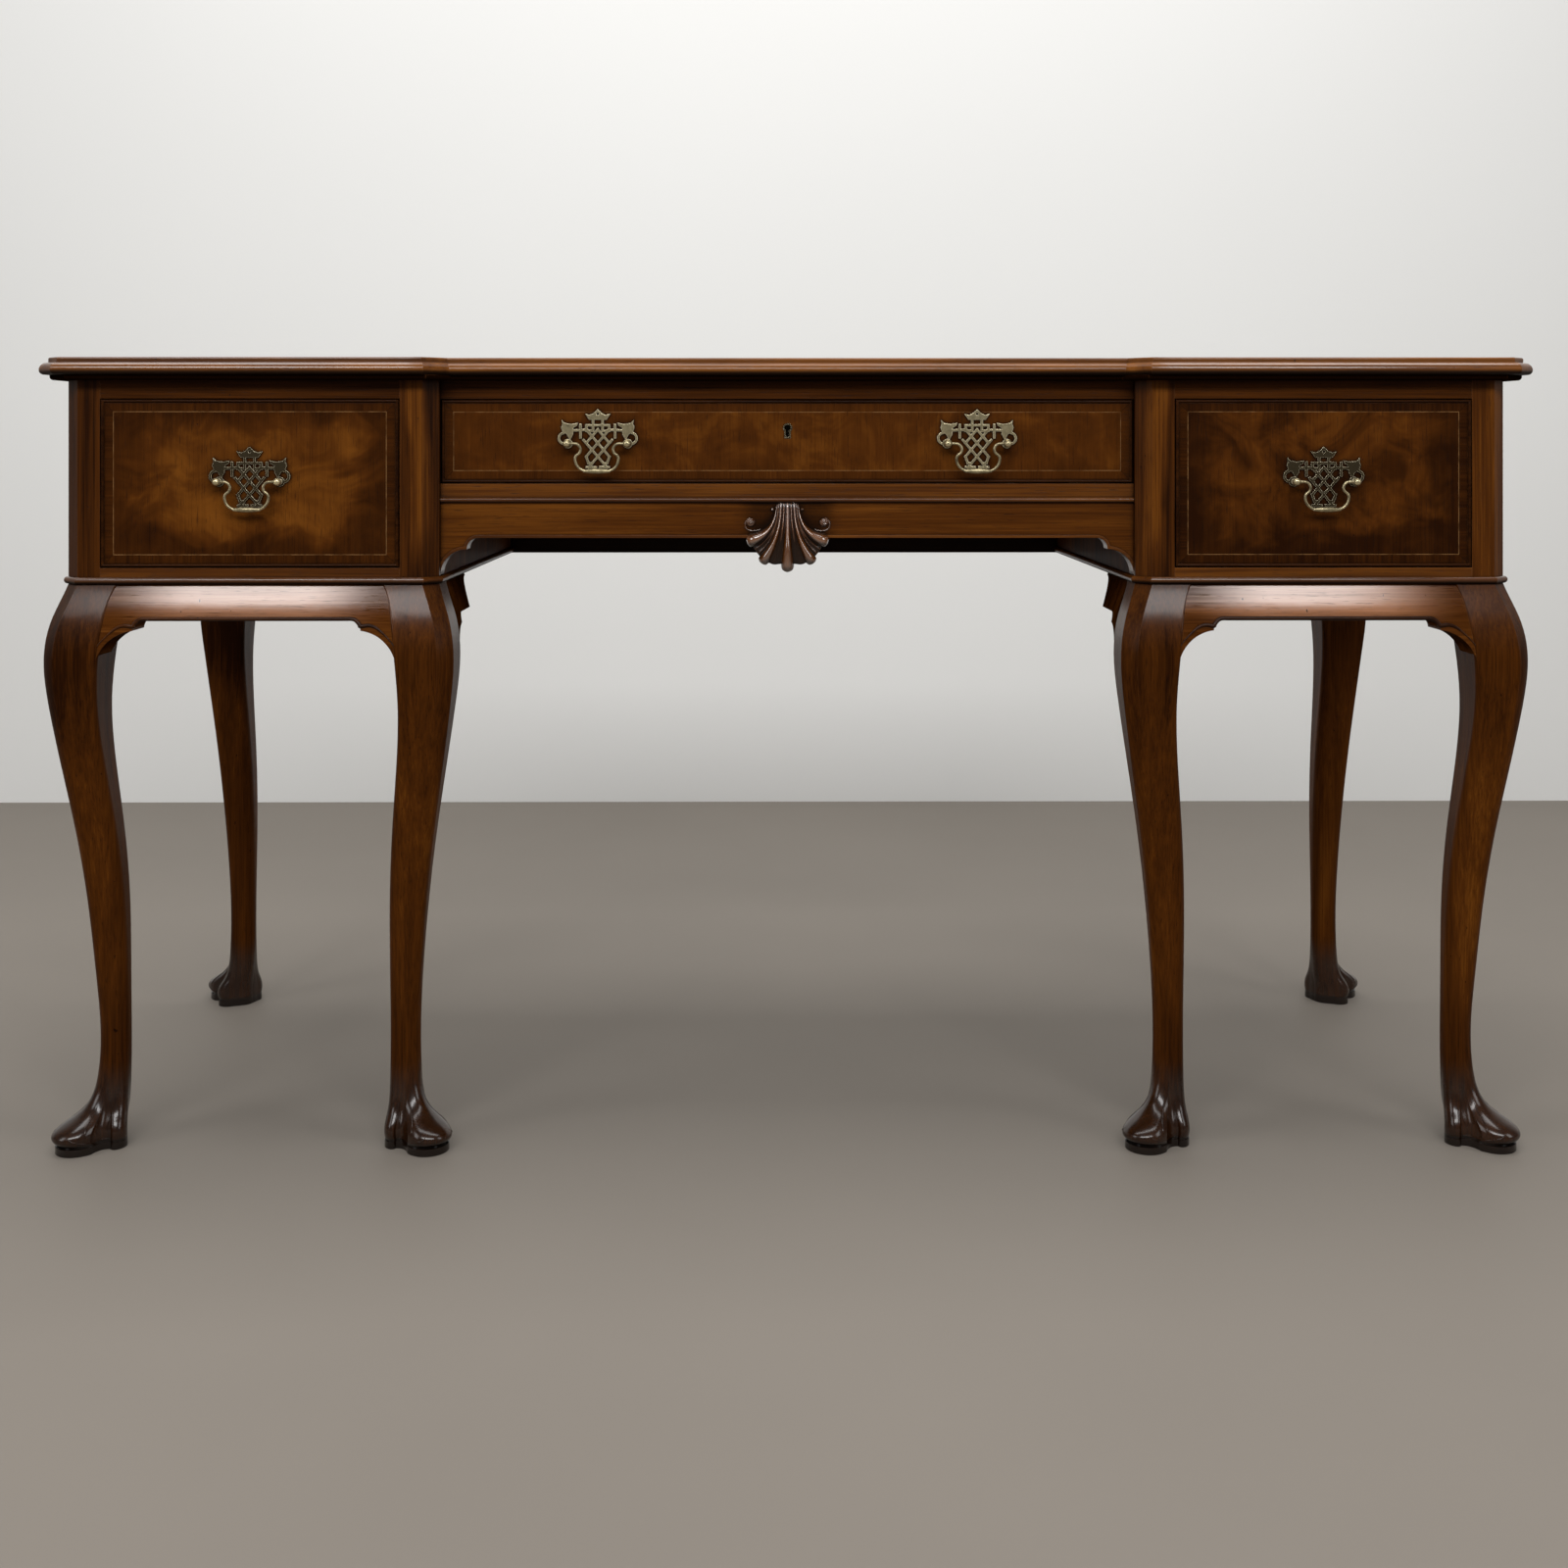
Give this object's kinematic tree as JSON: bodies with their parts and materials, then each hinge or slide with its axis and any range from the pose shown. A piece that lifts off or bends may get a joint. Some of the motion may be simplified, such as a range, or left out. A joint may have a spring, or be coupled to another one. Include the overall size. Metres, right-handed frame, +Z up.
{
  "type": "kneehole desk",
  "caption": "Kneehole writing desk in walnut: a drawer in each pedestal, a recessed centre drawer over a shaped apron, cabriole legs on lobed feet, pierced brass handles.",
  "frame": {"origin": "on the floor under the middle of the desk", "axes": "+X along the width to the sitter's right hand, +Y from the drawers to the back, +Z up"},
  "size_m": [1.454, 0.556, 0.775],
  "materials": {
    "walnut": "polished walnut, worn on edges",
    "walnut_veneer": "polished walnut veneer",
    "drawer_veneer": "figured walnut veneer with crossbanding and a thin string line",
    "oak_lining": "bare oak",
    "brass": "aged cast brass",
    "lock_metal": "plain brass"
  },
  "bodies": {
    "desk": {"top_panel": "walnut_veneer", "back_panel": "walnut_veneer", "left_outer_side": "walnut_veneer", "left_inner_side": "walnut_veneer", "right_outer_side": "walnut_veneer", "right_inner_side": "walnut_veneer", "pedestal_bottom_rails": "walnut_veneer", "pedestal_top_rails": "walnut_veneer", "centre_top_rail": "walnut_veneer", "centre_drawer_rail": "walnut_veneer", "apron": "walnut_veneer", "top_edge_moulding": "walnut", "bed_moulding": "walnut", "front_posts": "walnut", "waist_moulding": "walnut", "centre_rail_bead": "walnut", "apron_bead": "walnut", "shell_carving": "walnut", "leg_ears": "walnut", "left_front_outer_leg": "walnut", "left_front_inner_leg": "walnut", "left_rear_leg": "walnut", "right_front_outer_leg": "walnut", "right_front_inner_leg": "walnut", "right_rear_leg": "walnut", "left_front_knee_rail": "walnut", "left_side_knee_rail": "walnut", "right_front_knee_rail": "walnut", "right_side_knee_rail": "walnut", "pedestal_bottoms": "oak_lining", "drawer_runners": "oak_lining", "drawer_stops": "oak_lining"},
    "left_drawer": {"left_drawer_front": "drawer_veneer", "left_drawer_sides": "oak_lining", "left_drawer_back": "oak_lining", "left_drawer_bottom": "oak_lining", "left_drawer_cock_bead": "walnut", "left_handle_plate": "brass", "left_handle_bolts": "brass"},
    "centre_drawer": {"centre_drawer_front": "drawer_veneer", "centre_drawer_sides": "oak_lining", "centre_drawer_back": "oak_lining", "centre_drawer_bottom": "oak_lining", "centre_drawer_cock_bead": "walnut", "centre_handle_plates": "brass", "centre_handle_bolts": "brass", "keyhole_thread": "brass", "lock_case": "lock_metal"},
    "right_drawer": {"right_drawer_front": "drawer_veneer", "right_drawer_sides": "oak_lining", "right_drawer_back": "oak_lining", "right_drawer_bottom": "oak_lining", "right_drawer_cock_bead": "walnut", "right_handle_plate": "brass", "right_handle_bolts": "brass"},
    "left_pull": {"left_bail": "brass"},
    "right_pull": {"right_bail": "brass"},
    "centre_left_pull": {"centre_left_bail": "brass"},
    "centre_right_pull": {"centre_right_bail": "brass"},
    "lock_tongue": {"lock_bolt": "lock_metal"}
  },
  "joints": [
    {"name": "left_drawer_slide", "type": "slide", "parent": "desk", "child": "left_drawer", "axis": [0, -1, 0], "range_m": [0, 0.33]},
    {"name": "centre_drawer_slide", "type": "slide", "parent": "desk", "child": "centre_drawer", "axis": [0, -1, 0], "range_m": [0, 0.33]},
    {"name": "right_drawer_slide", "type": "slide", "parent": "desk", "child": "right_drawer", "axis": [0, -1, 0], "range_m": [0, 0.33]},
    {"name": "left_pull_swing", "type": "hinge", "parent": "left_drawer", "child": "left_pull", "pos_m": [-0.5235, -0.2675, 0.654], "axis": [-1, 0, 0], "range_deg": [-12, 150]},
    {"name": "right_pull_swing", "type": "hinge", "parent": "right_drawer", "child": "right_pull", "pos_m": [0.5235, -0.2675, 0.654], "axis": [-1, 0, 0], "range_deg": [-12, 150]},
    {"name": "centre_left_pull_swing", "type": "hinge", "parent": "centre_drawer", "child": "centre_left_pull", "pos_m": [-0.187, -0.2465, 0.69105], "axis": [-1, 0, 0], "range_deg": [-12, 150]},
    {"name": "centre_right_pull_swing", "type": "hinge", "parent": "centre_drawer", "child": "centre_right_pull", "pos_m": [0.187, -0.2465, 0.69105], "axis": [-1, 0, 0], "range_deg": [-12, 150]},
    {"name": "lock_tongue_rise", "type": "slide", "parent": "centre_drawer", "child": "lock_tongue", "axis": [0, 0, 1], "range_m": [0, 0.006]}
  ]
}
